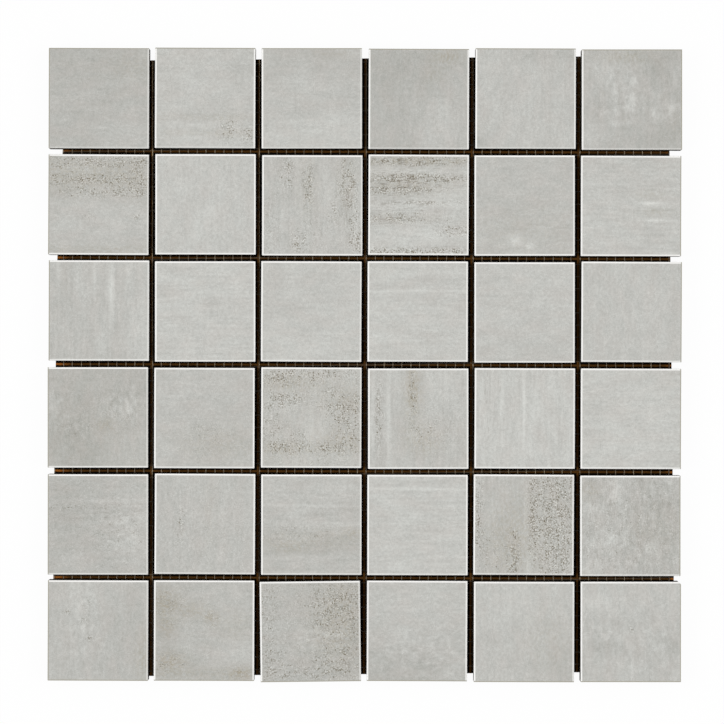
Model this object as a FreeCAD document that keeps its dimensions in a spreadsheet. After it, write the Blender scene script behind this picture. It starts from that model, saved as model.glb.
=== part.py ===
"""Mosaic tile sheet: square porcelain tiles glued to scrim-reinforced backing paper.

Millimetres and degrees. The sheet lies face up on its paper: +Z is up, +X runs along a row of
tiles and +Y up a column. The origin is under the middle of the sheet, at the paper's underside.
Row 1 is the row furthest along +Y and column 1 the column furthest along -X.
"""
import FreeCAD, Part
import math
import os
import Sketcher

doc = FreeCAD.newDocument("mosaic_tile_sheet")

# Driving dimensions, each with what it measures
DIMENSIONS = [
    ("rows", 6, "rows of tiles along Y"),
    ("columns", 6, "columns of tiles along X"),
    ("tile_side", 47.1, "side of a square tile"),
    ("tile_thickness", 9.0, "thickness of the slab that the tiles are cut from"),
    ("joint_width", 2.9, "open joint between two tiles"),
    ("corner_ease", 0.2, "eased upright corners of a tile"),
    ("arris_bevel", 0.2, "eased edge round a tile's face"),
    ("chip_size", 1.2, "corner knocked off the last tile"),
    ("key_groove_width", 2.0, "keying groove in a tile's back"),
    ("key_groove_depth", 0.5, "keying groove in a tile's back"),
    ("key_groove_pitch", 7.4, "from one keying groove to the next"),
    ("laying_drift", 0.2, "how far a tile lies off the regular grid"),
    ("laying_turn", 0.15, "how far a tile is turned by its laying"),
    ("crooked_turn", 0.8, "turn of the one tile that lies visibly askew"),
    ("paper_thickness", 0.2, "backing paper"),
    ("inset_left_top", 7.8, "paper edge inside the tiles' outer faces, left cut, at its top"),
    ("inset_left_knee", 3.2, "left cut, where it bends"),
    ("inset_left_bottom", 1.5, "left cut, at its bottom"),
    ("knee_height", 45.0, "where the left cut bends, above the middle of the sheet"),
    ("inset_right_top", 5.7, "right cut, at its top"),
    ("inset_right_bottom", 1.9, "right cut, at its bottom"),
    ("inset_top_left", 5.6, "top cut, at its left"),
    ("inset_top_right", 2.3, "top cut, at its right"),
    ("inset_bottom_left", 1.0, "bottom cut, at its left"),
    ("inset_bottom_right", 4.3, "bottom cut, at its right"),
    ("warp_pitch", 4.2, "scrim threads along Y, from one to the next"),
    ("warp_width", 0.45, "flattened thread along Y"),
    ("warp_thickness", 0.15, "flattened thread along Y"),
    ("warp_first", 2.3, "first thread along Y, inside the tiles' outer faces at -X"),
    ("warp_skew", 0.12, "turn of the threads along Y"),
    ("weft_pitch", 5.71, "scrim threads along X, from one to the next"),
    ("weft_width", 0.45, "flattened thread along X"),
    ("weft_thickness", 0.15, "flattened thread along X"),
    ("weft_first", 5.8, "first thread along X, inside the tiles' outer faces at +Y"),
    ("weft_skew", 1.1, "turn of the threads along X"),
]
sheet = doc.addObject("Spreadsheet::Sheet", "Dimensions")
for line, (alias, value, meaning) in enumerate(DIMENSIONS, start=1):
    sheet.set(f"A{line}", alias)
    sheet.set(f"B{line}", str(value))
    sheet.set(f"C{line}", meaning)
    sheet.setAlias(f"B{line}", alias)
doc.recompute()

rows = int(sheet.get("rows"))
columns = int(sheet.get("columns"))

# Sizes that follow from the driving dimensions, as expressions
HALF_X = ("(Dimensions.columns * Dimensions.tile_side"
          " + (Dimensions.columns - 1) * Dimensions.joint_width) / 2")
HALF_Y = ("(Dimensions.rows * Dimensions.tile_side"
          " + (Dimensions.rows - 1) * Dimensions.joint_width) / 2")
GRID_PITCH = "(Dimensions.tile_side + Dimensions.joint_width)"
WEFT_BASE = "Dimensions.paper_thickness"
WARP_BASE = f"{WEFT_BASE} + Dimensions.weft_thickness"
TILE_BASE = f"{WARP_BASE} + Dimensions.warp_thickness"
GROOVES = ("floor((Dimensions.tile_side - Dimensions.key_groove_width)"
           " / Dimensions.key_groove_pitch)")

# The sketch's own origin, as the constraints name it
ORIGIN = (-1, 1)


def start(line):
    """The start of a sketch line, as the constraints name it."""
    return line, 1


def end(line):
    """The end of a sketch line, as the constraints name it."""
    return line, 2


def new_body(name):
    """A body whose label is the name of its piece."""
    body = doc.addObject("PartDesign::Body", name)
    body.Label = name
    return body


def new_sketch(body, name):
    """A sketch on the level plane through the body's own origin."""
    sketch = body.newObject("Sketcher::SketchObject", name)
    plane = next(f for f in body.Origin.OriginFeatures if f.Role == "XY_Plane")
    sketch.AttachmentSupport = (plane, [""])
    sketch.MapMode = "FlatFace"
    return sketch


def closed_outline(sketch, corners):
    """Straight lines round the corners, joined end to start; returns the lines' numbers."""
    points = [FreeCAD.Vector(x, y, 0) for x, y in corners]
    pairs = zip(points, points[1:] + points[:1])
    lines = [sketch.addGeometry(Part.LineSegment(a, b), False) for a, b in pairs]
    for line, following in zip(lines, lines[1:] + lines[:1]):
        sketch.addConstraint(Sketcher.Constraint("Coincident", *end(line), *start(following)))
    return lines


def bind(sketch, kind, first, second, expression, guess):
    """A distance along X or Y, from the first point to the second, tied to the sheet."""
    number = sketch.addConstraint(Sketcher.Constraint(kind, *first, *second, guess))
    sketch.setExpression(f"Constraints[{number}]", expression)


def rectangle(sketch, left, right, low, high, guess):
    """A rectangle; each side is an expression for its distance from the sketch's origin."""
    lines = closed_outline(sketch, [(-guess, -guess), (guess, -guess), (guess, guess), (-guess, guess)])
    for line, kind in zip(lines, ("Horizontal", "Vertical", "Horizontal", "Vertical")):
        sketch.addConstraint(Sketcher.Constraint(kind, line))
    bottom, top = lines[0], lines[2]
    bind(sketch, "DistanceX", start(bottom), ORIGIN, left, guess)
    bind(sketch, "DistanceX", ORIGIN, end(bottom), right, guess)
    bind(sketch, "DistanceY", start(bottom), ORIGIN, low, guess)
    bind(sketch, "DistanceY", ORIGIN, start(top), high, guess)


def paper_outline(sketch):
    """The cut outline of the paper: four straight cuts, the left one bent at its knee."""
    guess = 140.0
    knee = 45.0
    corners = [(-guess, -guess), (guess, -guess), (guess, guess), (-guess, guess), (-guess, knee)]
    bottom, right, top, left_upper, left_lower = closed_outline(sketch, corners)
    x_from = f"{HALF_X} - Dimensions.inset_"
    y_from = f"{HALF_Y} - Dimensions.inset_"
    bind(sketch, "DistanceX", start(bottom), ORIGIN, x_from + "left_bottom", guess)
    bind(sketch, "DistanceY", start(bottom), ORIGIN, y_from + "bottom_left", guess)
    bind(sketch, "DistanceX", ORIGIN, start(right), x_from + "right_bottom", guess)
    bind(sketch, "DistanceY", start(right), ORIGIN, y_from + "bottom_right", guess)
    bind(sketch, "DistanceX", ORIGIN, start(top), x_from + "right_top", guess)
    bind(sketch, "DistanceY", ORIGIN, start(top), y_from + "top_right", guess)
    bind(sketch, "DistanceX", start(left_upper), ORIGIN, x_from + "left_top", guess)
    bind(sketch, "DistanceY", ORIGIN, start(left_upper), y_from + "top_left", guess)
    bind(sketch, "DistanceX", start(left_lower), ORIGIN, x_from + "left_knee", guess)
    bind(sketch, "DistanceY", ORIGIN, start(left_lower), "Dimensions.knee_height", knee)


def pad(body, sketch, name, height):
    """The sketch's outline raised upwards by the height, an expression."""
    feature = body.newObject("PartDesign::Pad", name)
    feature.Profile = sketch
    feature.setExpression("Length", height)
    doc.recompute()
    return feature


def upright_edges(feature):
    """Names of the feature's upright edges, the one towards +X and +Y last."""
    found = []
    for number, edge in enumerate(feature.Shape.Edges, start=1):
        foot, head = (vertex.Point for vertex in edge.Vertexes)
        if math.hypot(foot.x - head.x, foot.y - head.y) < 1e-6:
            found.append((foot.x + foot.y, f"Edge{number}"))
    return [name for _, name in sorted(found)]


def edges_at_height(feature, height):
    """Names of the feature's edges that lie level at the height."""
    return [
        f"Edge{number}"
        for number, edge in enumerate(feature.Shape.Edges, start=1)
        if all(abs(vertex.Point.z - height) < 1e-6 for vertex in edge.Vertexes)
    ]


def chamfer(body, name, base, edges, size):
    """A flat bevel along some of the base feature's edges; size is an expression."""
    feature = body.newObject("PartDesign::Chamfer", name)
    feature.Base = (base, edges)
    feature.setExpression("Size", size)
    doc.recompute()
    return feature


def make_backing_paper():
    """Kraft paper, cut by hand a little inside the tiles' outer faces."""
    body = new_body("backing_paper")
    sketch = new_sketch(body, "paper_cut")
    paper_outline(sketch)
    pad(body, sketch, "paper_sheet", "Dimensions.paper_thickness")
    return body


def make_cutting_block():
    """A block on the paper's outline that reaches through both layers of threads."""
    sketch = doc.addObject("Sketcher::SketchObject", "scrim_cut")
    paper_outline(sketch)
    block = doc.addObject("Part::Extrusion", "cutting_block")
    block.Base = sketch
    block.DirMode = "Normal"
    block.Solid = True
    block.setExpression("LengthFwd", f"2 * ({TILE_BASE})")
    doc.recompute()
    return block


def make_threads(thread, base, half_across, half_along, runs_along_y, cutting_block):
    """One layer of parallel flat threads, laid a little askew and cut off with the paper.

    thread names the layer's sizes: warp or weft. The first thread lies inside the tiles' outer
    faces at -X or +Y, and the others follow it across the sheet, one pitch apart.
    """
    pitch = f"Dimensions.{thread}_pitch"
    half_width = f"Dimensions.{thread}_width / 2"
    first = f"({half_across} - Dimensions.{thread}_first)"
    steps = f"floor(({half_across} + {first}) / {pitch})"
    laid = new_body(f"laid_{thread}")
    laid.AllowCompound = True
    strip = new_sketch(laid, f"{thread}_thread_outline")
    strip.AttachmentOffset.Rotation.Axis = FreeCAD.Vector(0, 0, 1)
    strip.setExpression("AttachmentOffset.Base.z", base)
    strip.setExpression("AttachmentOffset.Rotation.Angle", f"Dimensions.{thread}_skew")
    outer_side = f"{half_width} + {first}"
    inner_side = f"{half_width} - {first}"
    if runs_along_y:
        rectangle(strip, outer_side, inner_side, half_along, half_along, 100.0)
    else:
        rectangle(strip, half_along, half_along, inner_side, outer_side, 100.0)
    first_thread = pad(laid, strip, f"{thread}_first_thread", f"Dimensions.{thread}_thickness")
    layer = laid.newObject("PartDesign::LinearPattern", f"{thread}_layer")
    layer.Originals = [first_thread]
    layer.Direction = (strip, ["H_Axis" if runs_along_y else "V_Axis"])
    layer.Reversed = not runs_along_y
    layer.setExpression("Occurrences", f"{steps} + 1")
    layer.setExpression("Length", f"{steps} * {pitch}")
    laid.Tip = layer
    threads = doc.addObject("Part::Common", f"scrim_{thread}_threads")
    threads.Label = f"scrim_{thread}_threads"
    threads.Base = laid
    threads.Tool = cutting_block
    doc.recompute()
    return threads


def cut_key_grooves(body):
    """Shallow grooves side by side right across the tile's back, for the adhesive to key into."""
    side = "Dimensions.tile_side / 2"
    half_groove = "Dimensions.key_groove_width / 2"
    first = f"({GROOVES} - 1) / 2 * Dimensions.key_groove_pitch"
    outline = new_sketch(body, "groove_outline")
    rectangle(outline, f"{first} + {half_groove}", f"{half_groove} - {first}", side, side, 20.0)
    uncut = body.Shape.Volume
    groove = body.newObject("PartDesign::Pocket", "key_groove")
    groove.Profile = outline
    groove.Reversed = True
    groove.setExpression("Length", "Dimensions.key_groove_depth")
    doc.recompute()
    grooves = body.newObject("PartDesign::LinearPattern", "key_grooves")
    grooves.Originals = [groove]
    grooves.Direction = (outline, ["H_Axis"])
    grooves.setExpression("Occurrences", GROOVES)
    grooves.setExpression("Length", f"({GROOVES} - 1) * Dimensions.key_groove_pitch")
    body.Tip = grooves
    doc.recompute()
    if groove.Shape.Volume >= uncut:
        raise RuntimeError(f"{body.Label} has no keying grooves")


def lay(body, row, column, along_x, crooked):
    """Put a tile in its place on the scrim, a little off the regular grid, as a hand lays it.

    The sines spread each tile's share of the drift and turn evenly between -1 and 1.
    """
    off_x = f"{math.sin(2.3 * row + 1.1 * column)} * Dimensions.laying_drift"
    off_y = f"{math.sin(1.7 * row + 2.5 * column)} * Dimensions.laying_drift"
    turn = f"{math.sin(1.3 * row + 2.2 * column)} * Dimensions.laying_turn"
    if crooked:
        turn = "Dimensions.crooked_turn"
    quarter = 90 if along_x else 0
    columns_right = f"({column} - (Dimensions.columns + 1) / 2)"
    rows_up = f"((Dimensions.rows + 1) / 2 - {row})"
    body.Placement.Rotation.Axis = FreeCAD.Vector(0, 0, 1)
    body.setExpression("Placement.Base.x", f"{columns_right} * {GRID_PITCH} + {off_x}")
    body.setExpression("Placement.Base.y", f"{rows_up} * {GRID_PITCH} + {off_y}")
    body.setExpression("Placement.Base.z", TILE_BASE)
    body.setExpression("Placement.Rotation.Angle", f"{quarter} + {turn}")


def make_tile(row, column, chipped):
    """A square tile sawn from a pressed slab, with crisp upright edges and a gently eased face."""
    body = new_body(f"tile_row{row}_col{column}")
    side = "Dimensions.tile_side / 2"
    outline = new_sketch(body, "outline")
    rectangle(outline, side, side, side, side, 20.0)
    blank = pad(body, outline, "blank", "Dimensions.tile_thickness")
    face_height = blank.Shape.BoundBox.ZMax
    corners = upright_edges(blank)[:-1]
    shaped = chamfer(body, "eased_corners", blank, corners, "Dimensions.corner_ease")
    last_corner = "Dimensions.chip_size" if chipped else "Dimensions.corner_ease"
    shaped = chamfer(body, "last_corner", shaped, upright_edges(shaped)[-1:], last_corner)
    arris = edges_at_height(shaped, face_height)
    chamfer(body, "eased_arris", shaped, arris, "Dimensions.arris_bevel")
    cut_key_grooves(body)
    return body


pieces = [make_backing_paper()]
cutting_block = make_cutting_block()
pieces.append(make_threads("weft", WEFT_BASE, HALF_Y, HALF_X, False, cutting_block))
pieces.append(make_threads("warp", WARP_BASE, HALF_X, HALF_Y, True, cutting_block))

# The tiles are laid as they come to hand, so the slab's streaks and grooves run along X on some
ALONG_X = {
    (1, 1), (1, 2), (1, 3), (2, 1), (2, 4), (2, 5), (2, 6), (3, 2), (3, 3), (3, 4),
    (3, 5), (4, 2), (4, 6), (5, 1), (5, 3), (5, 4), (6, 2), (6, 3), (6, 4),
}
CROOKED = (rows, columns // 2)
CHIPPED = (rows, columns)
for row in range(1, rows + 1):
    for column in range(1, columns + 1):
        place = (row, column)
        tile = make_tile(row, column, place == CHIPPED)
        lay(tile, row, column, place in ALONG_X, place == CROOKED)
        pieces.append(tile)

# Every feature and every piece has to be sound before anything is written
doc.recompute()
for item in doc.Objects:
    if "Invalid" in item.State or "Error" in item.State:
        raise RuntimeError(f"{item.Label} failed: {item.State}")
for piece in pieces:
    if piece.Shape.isNull() or not piece.Shape.isValid():
        raise RuntimeError(f"{piece.Label} has no sound shape")

os.makedirs("parts", exist_ok=True)
for piece in pieces:
    piece.Shape.exportStep(f"parts/{piece.Label}.step")
    print(piece.Label, len(piece.Shape.Solids), "solids", round(piece.Shape.Volume, 2), "mm3")
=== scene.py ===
"""Looks of the mosaic tile sheet: 36 porcelain tiles on scrim-reinforced kraft paper.

Metres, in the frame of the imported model: +X along a row of tiles, +Y up a column, +Z up.
"""
import math

import bpy
import numpy as np
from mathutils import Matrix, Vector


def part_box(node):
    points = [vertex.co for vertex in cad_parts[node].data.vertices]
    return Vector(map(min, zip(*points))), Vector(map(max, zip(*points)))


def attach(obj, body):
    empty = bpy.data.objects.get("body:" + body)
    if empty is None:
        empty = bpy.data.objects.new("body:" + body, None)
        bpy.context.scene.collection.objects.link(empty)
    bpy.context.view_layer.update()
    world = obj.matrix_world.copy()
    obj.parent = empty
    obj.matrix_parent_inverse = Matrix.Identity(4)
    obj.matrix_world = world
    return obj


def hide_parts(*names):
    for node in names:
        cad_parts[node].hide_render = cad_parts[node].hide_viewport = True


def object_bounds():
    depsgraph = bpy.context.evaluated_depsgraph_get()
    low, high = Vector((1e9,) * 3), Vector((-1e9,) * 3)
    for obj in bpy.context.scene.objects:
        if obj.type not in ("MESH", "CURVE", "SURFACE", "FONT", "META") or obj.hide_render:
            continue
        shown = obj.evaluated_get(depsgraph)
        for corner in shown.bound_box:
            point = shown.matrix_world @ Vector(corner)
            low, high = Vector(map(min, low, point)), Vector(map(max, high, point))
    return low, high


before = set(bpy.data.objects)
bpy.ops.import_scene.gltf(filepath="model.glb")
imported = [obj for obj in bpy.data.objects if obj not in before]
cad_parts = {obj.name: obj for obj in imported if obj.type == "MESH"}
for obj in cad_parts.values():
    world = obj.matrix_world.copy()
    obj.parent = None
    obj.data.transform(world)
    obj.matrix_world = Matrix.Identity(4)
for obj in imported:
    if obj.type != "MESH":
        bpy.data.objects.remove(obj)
cad_box = [list(corner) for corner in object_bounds()]


# Backing paper
# One sheet of brown kraft paper, cut by hand with a knife a little inside the tiles' outer
# faces. Its fibres lie mostly up the sheet, and painted shade darkens it along the tiles' feet.
MM = 0.001
# The painted shade along the tiles' feet, and the lit strip that it leaves down each joint
STRIP_PITCH = 50.26 * MM
STRIP_LIT = 0.5 * MM
STRIP_SHADED = 0.8 * MM
STRIP_WAVER = 0.4 * MM
WAVER_LENGTH = 1.5 * MM


def linear(hex_colour):
    """An sRGB colour such as #8D5D34 as linear red, green, blue and alpha."""
    parts = [int(hex_colour[i:i + 2], 16) / 255 for i in (1, 3, 5)]
    return [p / 12.92 if p <= 0.04045 else ((p + 0.055) / 1.055) ** 2.4 for p in parts] + [1.0]


def new_material(name):
    """A material with an empty node tree, and its tree."""
    material = bpy.data.materials.new(name)
    material.use_nodes = True
    material.node_tree.nodes.clear()
    return material, material.node_tree


def add(tree, kind, inputs=None, **settings):
    """Adds a node; each of its inputs takes a value or the socket that feeds it."""
    node = tree.nodes.new(kind)
    for name, value in settings.items():
        setattr(node, name, value)
    for socket, value in (inputs or {}).items():
        if isinstance(value, bpy.types.NodeSocket):
            tree.links.new(value, node.inputs[socket])
        else:
            node.inputs[socket].default_value = value
    return node


# Sockets of a colour Mix node, which has several inputs of one name
MIX_A, MIX_B, MIX_OUT = 6, 7, 2


def painted_foot_shade(tree, place):
    """1 in the painted shade along each tile's foot, 0 in the lit strip that it leaves down the
    joint.

    A lit strip's centre line is every strip pitch along X and Y, which is a little more than
    the tiles' pitch of 50 mm, so that from above the middle of the sheet it shows in the middle
    of each joint. The distance to the nearer line is the smaller of two zigzags, and it wavers
    a little with the painted shade's edge.
    """
    split = add(tree, "ShaderNodeSeparateXYZ", {"Vector": place})
    across, up = (
        add(tree, "ShaderNodeMath", {
            0: split.outputs[axis], 1: STRIP_PITCH / 2,
        }, operation="PINGPONG")
        for axis in ("X", "Y")
    )
    nearer = add(tree, "ShaderNodeMath", {
        0: across.outputs[0], 1: up.outputs[0],
    }, operation="MINIMUM")
    waver = add(tree, "ShaderNodeTexNoise", {
        "Vector": place, "Scale": 1 / WAVER_LENGTH, "Detail": 2.0,
    })
    distance = add(tree, "ShaderNodeMath", {
        0: waver.outputs["Fac"], 1: STRIP_WAVER, 2: nearer.outputs[0],
    }, operation="MULTIPLY_ADD")
    return add(tree, "ShaderNodeMapRange", {
        "Value": distance.outputs[0], "From Min": STRIP_LIT, "From Max": STRIP_SHADED,
    }).outputs["Result"]


def kraft_paper():
    """Unbleached kraft: matt, warm brown, cloudy at the size of its fibre clumps.

    Its brown is drawn darker than kraft's own, a painted shade of the deep joints. Near the ends
    of the rows it goes to a paler orange, a painted light where more light comes into the joints'
    open ends, and more so on the left, because the pale ends count from a line a little to the
    right of the middle.
    The real fibres are too fine to show, so they are drawn half a millimetre wide.
    """
    material, tree = new_material("kraft_paper_unbleached")
    clump = 3.0 * MM
    fibre = 0.5 * MM
    fibre_stretch = 4.0
    lit_ends_middle = 2.0 * MM
    lit_ends_ragged = 6.0 * MM
    lit_ends_start = 143.0 * MM
    lit_ends_full = 148.0 * MM
    place = add(tree, "ShaderNodeTexCoord").outputs["Object"]
    clumps = add(tree, "ShaderNodeTexNoise", {"Vector": place, "Scale": 1 / clump, "Detail": 3.0})
    stretched = add(tree, "ShaderNodeMapping", {
        "Vector": place, "Scale": (1.0, 1 / fibre_stretch, 1.0),
    })
    fibres = add(tree, "ShaderNodeTexNoise", {
        "Vector": stretched.outputs["Vector"], "Scale": 1 / fibre, "Detail": 2.0, "Distortion": 1.5,
    })
    tone = add(tree, "ShaderNodeMix", {
        "Factor": 0.4, MIX_A: clumps.outputs["Color"], MIX_B: fibres.outputs["Color"],
    }, data_type="RGBA")
    # Painted shade: the brown is darker than the kraft's own colour, for the deep joints
    brown = add(tree, "ShaderNodeValToRGB", {"Fac": tone.outputs[MIX_OUT]})
    ramp = brown.color_ramp
    ramp.elements[0].position = 0.3
    ramp.elements[0].color = linear("#60401A")
    ramp.elements[1].position = 0.7
    ramp.elements[1].color = linear("#845826")
    # Painted light: paler orange towards the ends of the rows, where more light comes into the
    # joints
    beside = add(tree, "ShaderNodeMath", {
        0: add(tree, "ShaderNodeSeparateXYZ", {"Vector": place}).outputs["X"], 1: lit_ends_middle,
    }, operation="SUBTRACT")
    outward = add(tree, "ShaderNodeMath", {0: beside.outputs[0]}, operation="ABSOLUTE")
    ragged = add(tree, "ShaderNodeMath", {
        0: clumps.outputs["Fac"], 1: lit_ends_ragged, 2: outward.outputs[0],
    }, operation="MULTIPLY_ADD")
    lit_ends = add(tree, "ShaderNodeMapRange", {
        "Value": ragged.outputs[0], "From Min": lit_ends_start, "From Max": lit_ends_full,
    })
    paler = add(tree, "ShaderNodeMix", {
        "Factor": lit_ends.outputs["Result"],
        MIX_A: brown.outputs["Color"], MIX_B: linear("#C87A32"),
    }, data_type="RGBA")
    # Painted shade: almost black along the tiles' feet
    foot_shaded = add(tree, "ShaderNodeMix", {
        "Factor": painted_foot_shade(tree, place),
        MIX_A: paler.outputs[MIX_OUT], MIX_B: linear("#0E0905"),
    }, data_type="RGBA")
    bump = add(tree, "ShaderNodeBump", {
        "Height": fibres.outputs["Fac"], "Strength": 0.4, "Distance": 0.05 * MM,
    })
    shader = add(tree, "ShaderNodeBsdfPrincipled", {
        "Base Color": foot_shaded.outputs[MIX_OUT], "Roughness": 0.9, "Specular IOR Level": 0.1,
        "Normal": bump.outputs["Normal"],
    })
    add(tree, "ShaderNodeOutputMaterial", {"Surface": shader.outputs["BSDF"]})
    return material


kraft = kraft_paper()
for paper_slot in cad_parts["backing_paper"].material_slots:
    paper_slot.material = kraft


# Scrim
# Two layers of flat glass-fibre threads laid across each other on the paper, the weft along X
# under the warp along Y. Both are cut off with the paper, and the glue leaves them beige.
ROWS = 6
COLUMNS = 6
TILE_SIDE = 47.1 * MM
JOINT_WIDTH = 2.9 * MM
SHEET_HALF = (np.array([COLUMNS, ROWS]) * (TILE_SIDE + JOINT_WIDTH) - JOINT_WIDTH) / 2
# How far in from the tiles' outer faces the paper and the threads are cut off. The left cut
# bends at a knee, whose height counts up the sheet from its middle.
INSET_LEFT_TOP = 7.8 * MM
INSET_LEFT_KNEE = 3.2 * MM
INSET_LEFT_BOTTOM = 1.5 * MM
KNEE_HEIGHT = 45.0 * MM
INSET_RIGHT_TOP = 5.7 * MM
INSET_RIGHT_BOTTOM = 1.9 * MM
INSET_TOP_LEFT = 5.6 * MM
INSET_TOP_RIGHT = 2.3 * MM
INSET_BOTTOM_LEFT = 1.0 * MM
INSET_BOTTOM_RIGHT = 4.3 * MM
THREAD_WIDTH = 0.45 * MM
WANDER = 0.09 * MM
WANDER_LENGTH = 83.0 * MM
WANDER_PHASE_STEP = 2.4
THREAD_STATIONS = 13
SECTION_POINTS = 6


def paper_corners():
    """The corners of the cut paper, anticlockwise from its lower left."""
    x, y = SHEET_HALF
    return np.array([
        (INSET_LEFT_BOTTOM - x, INSET_BOTTOM_LEFT - y),
        (x - INSET_RIGHT_BOTTOM, INSET_BOTTOM_RIGHT - y),
        (x - INSET_RIGHT_TOP, y - INSET_TOP_RIGHT),
        (INSET_LEFT_TOP - x, y - INSET_TOP_LEFT),
        (INSET_LEFT_KNEE - x, KNEE_HEIGHT),
    ])


def clip_to_paper(points, direction):
    """Where lines through the points cross the paper's outline, as distances along them.

    The outline is convex, so a line is inside it between the last cut that it enters and the
    first that it leaves: for a cut through c with inward normal n, the distance is
    n.(c - p) / n.d.
    """
    corners = paper_corners()
    sides = np.roll(corners, -1, axis=0) - corners
    inward = np.stack([-sides[:, 1], sides[:, 0]], axis=1)
    slope = inward @ direction
    reach = np.einsum("ij,kij->ki", inward, corners[None] - points[:, None]) / slope
    enter = np.where(slope > 0, reach, -np.inf).max(axis=1)
    leave = np.where(slope < 0, reach, np.inf).min(axis=1)
    return enter, leave


def grid_faces(rows, columns, closed_across=False):
    """Quads of a grid of vertices numbered row by row, closed into a tube across if asked."""
    row, column = np.mgrid[0:rows - 1, 0:columns if closed_across else columns - 1]
    after = (column + 1) % columns
    quads = [row * columns + column, row * columns + after]
    quads += [(row + 1) * columns + after, (row + 1) * columns + column]
    return np.stack(quads, axis=-1).reshape(-1, 4)


def new_piece(name, vertices, quads, caps=()):
    """A mesh object at the origin, from vertices in metres, quads and caps with any corners."""
    mesh = bpy.data.meshes.new(name)
    mesh.from_pydata(vertices.tolist(), [], quads.tolist() + [list(cap) for cap in caps])
    mesh.update()
    piece = bpy.data.objects.new(name, mesh)
    bpy.context.scene.collection.objects.link(piece)
    return piece


def thread_layer(name, spacing, first, skew_deg, along_y):
    """Flat threads side by side, each an oval section carried along a nearly straight line.

    Thread k lies at first + k * spacing from the tiles' outer face, turned by the skew about
    the middle of the sheet. Along its length it wanders from that line by a slow sine of its
    own phase, and its section is an ellipse as wide as the thread and as thick as its layer.
    """
    low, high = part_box(name)
    middle = (low.z + high.z) / 2
    half_thick = (high.z - low.z) / 2
    skew = math.radians(skew_deg)
    across = np.array([math.cos(skew), math.sin(skew)])
    along = np.array([-across[1], across[0]])
    if not along_y:
        across, along = along, across
    half = SHEET_HALF[0 if along_y else 1]
    count = int((2 * half - first) / spacing) + 1
    offset = first - half + np.arange(count) * spacing
    if not along_y:
        offset = -offset
    enter, leave = clip_to_paper(offset[:, None] * across, along)
    kept = (leave - enter) > THREAD_WIDTH
    offset, enter, leave = offset[kept], enter[kept], leave[kept]
    share = np.linspace(0, 1, THREAD_STATIONS)
    distance = enter[:, None] + (leave - enter)[:, None] * share
    phase = np.arange(len(offset))[:, None] * WANDER_PHASE_STEP
    wander = WANDER * np.sin(distance * (2 * math.pi / WANDER_LENGTH) + phase)
    centre = (offset[:, None] + wander)[..., None] * across + distance[..., None] * along
    angle = np.arange(SECTION_POINTS) * 2 * math.pi / SECTION_POINTS
    side = np.cos(angle) * THREAD_WIDTH / 2
    lift = np.sin(angle) / np.sin(angle).max() * half_thick
    ring = centre[:, :, None, :] + side[:, None] * across
    height = np.broadcast_to(middle + lift, ring.shape[:3])[..., None]
    vertices = np.concatenate([ring, height], axis=3)
    per_thread = THREAD_STATIONS * SECTION_POINTS
    one = grid_faces(THREAD_STATIONS, SECTION_POINTS, closed_across=True)
    starts = np.arange(len(offset))[:, None, None] * per_thread
    quads = (starts + one).reshape(-1, 4)
    cap = np.arange(SECTION_POINTS)
    near_caps = starts[:, 0] + cap
    far_caps = near_caps + per_thread - SECTION_POINTS
    if along_y:
        quads, near_caps, far_caps = quads[:, ::-1], near_caps[:, ::-1], far_caps[:, ::-1]
    caps = np.concatenate([near_caps[:, ::-1], far_caps]).tolist()
    return new_piece(name + "_laid", vertices.reshape(-1, 3), quads, caps)


def glass_fibre(name, dull, bright):
    """Glass roving stiffened with glue: a dull sheen, unevenly wetted, and darkened by painted
    shade along the tiles' feet.

    At the right end of the rows it is sunk in the adhesive all across the joints.
    """
    material, tree = new_material(name)
    wetting = 6.0 * MM
    sunk_start = 141.5 * MM
    sunk_full = 143.0 * MM
    shade_and_glue_strength = 0.75
    place = add(tree, "ShaderNodeTexCoord").outputs["Object"]
    patches = add(tree, "ShaderNodeTexNoise", {
        "Vector": place, "Scale": 1 / wetting, "Detail": 2.0,
    })
    beige = add(tree, "ShaderNodeValToRGB", {"Fac": patches.outputs["Fac"]})
    ramp = beige.color_ramp
    ramp.elements[0].position = 0.35
    ramp.elements[0].color = linear(dull)
    ramp.elements[1].position = 0.65
    ramp.elements[1].color = linear(bright)
    sunk = add(tree, "ShaderNodeMapRange", {
        "Value": add(tree, "ShaderNodeSeparateXYZ", {"Vector": place}).outputs["X"],
        "From Min": sunk_start, "From Max": sunk_full,
    })
    # Darker by painted shade along the tiles' feet, and by the adhesive at the right end of the
    # rows
    shaded_or_sunk = add(tree, "ShaderNodeMath", {
        0: painted_foot_shade(tree, place), 1: sunk.outputs["Result"],
    }, operation="MAXIMUM")
    shade_and_glue = add(tree, "ShaderNodeMath", {
        0: shaded_or_sunk.outputs[0], 1: shade_and_glue_strength,
    }, operation="MULTIPLY")
    shaded_and_glued = add(tree, "ShaderNodeMix", {
        "Factor": shade_and_glue.outputs[0], MIX_A: beige.outputs["Color"], MIX_B: linear("#2A2118"),
    }, data_type="RGBA")
    shader = add(tree, "ShaderNodeBsdfPrincipled", {
        "Base Color": shaded_and_glued.outputs[MIX_OUT], "Roughness": 0.45,
    })
    add(tree, "ShaderNodeOutputMaterial", {"Surface": shader.outputs["BSDF"]})
    return material


for layer, spacing, first, skew_deg, along_y, colours in (
    ("scrim_warp_threads", 4.2 * MM, 2.3 * MM, 0.12, True, ("#AE9474", "#E4CDA6")),
    ("scrim_weft_threads", 5.71 * MM, 5.8 * MM, 1.1, False, ("#5E4B36", "#7D6A50")),
):
    threads = thread_layer(layer, spacing, first, skew_deg, along_y)
    threads.data.materials.append(glass_fibre(layer + "_glued_glass_fibre", *colours))
    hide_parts(layer)
    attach(threads, "root")


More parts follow.
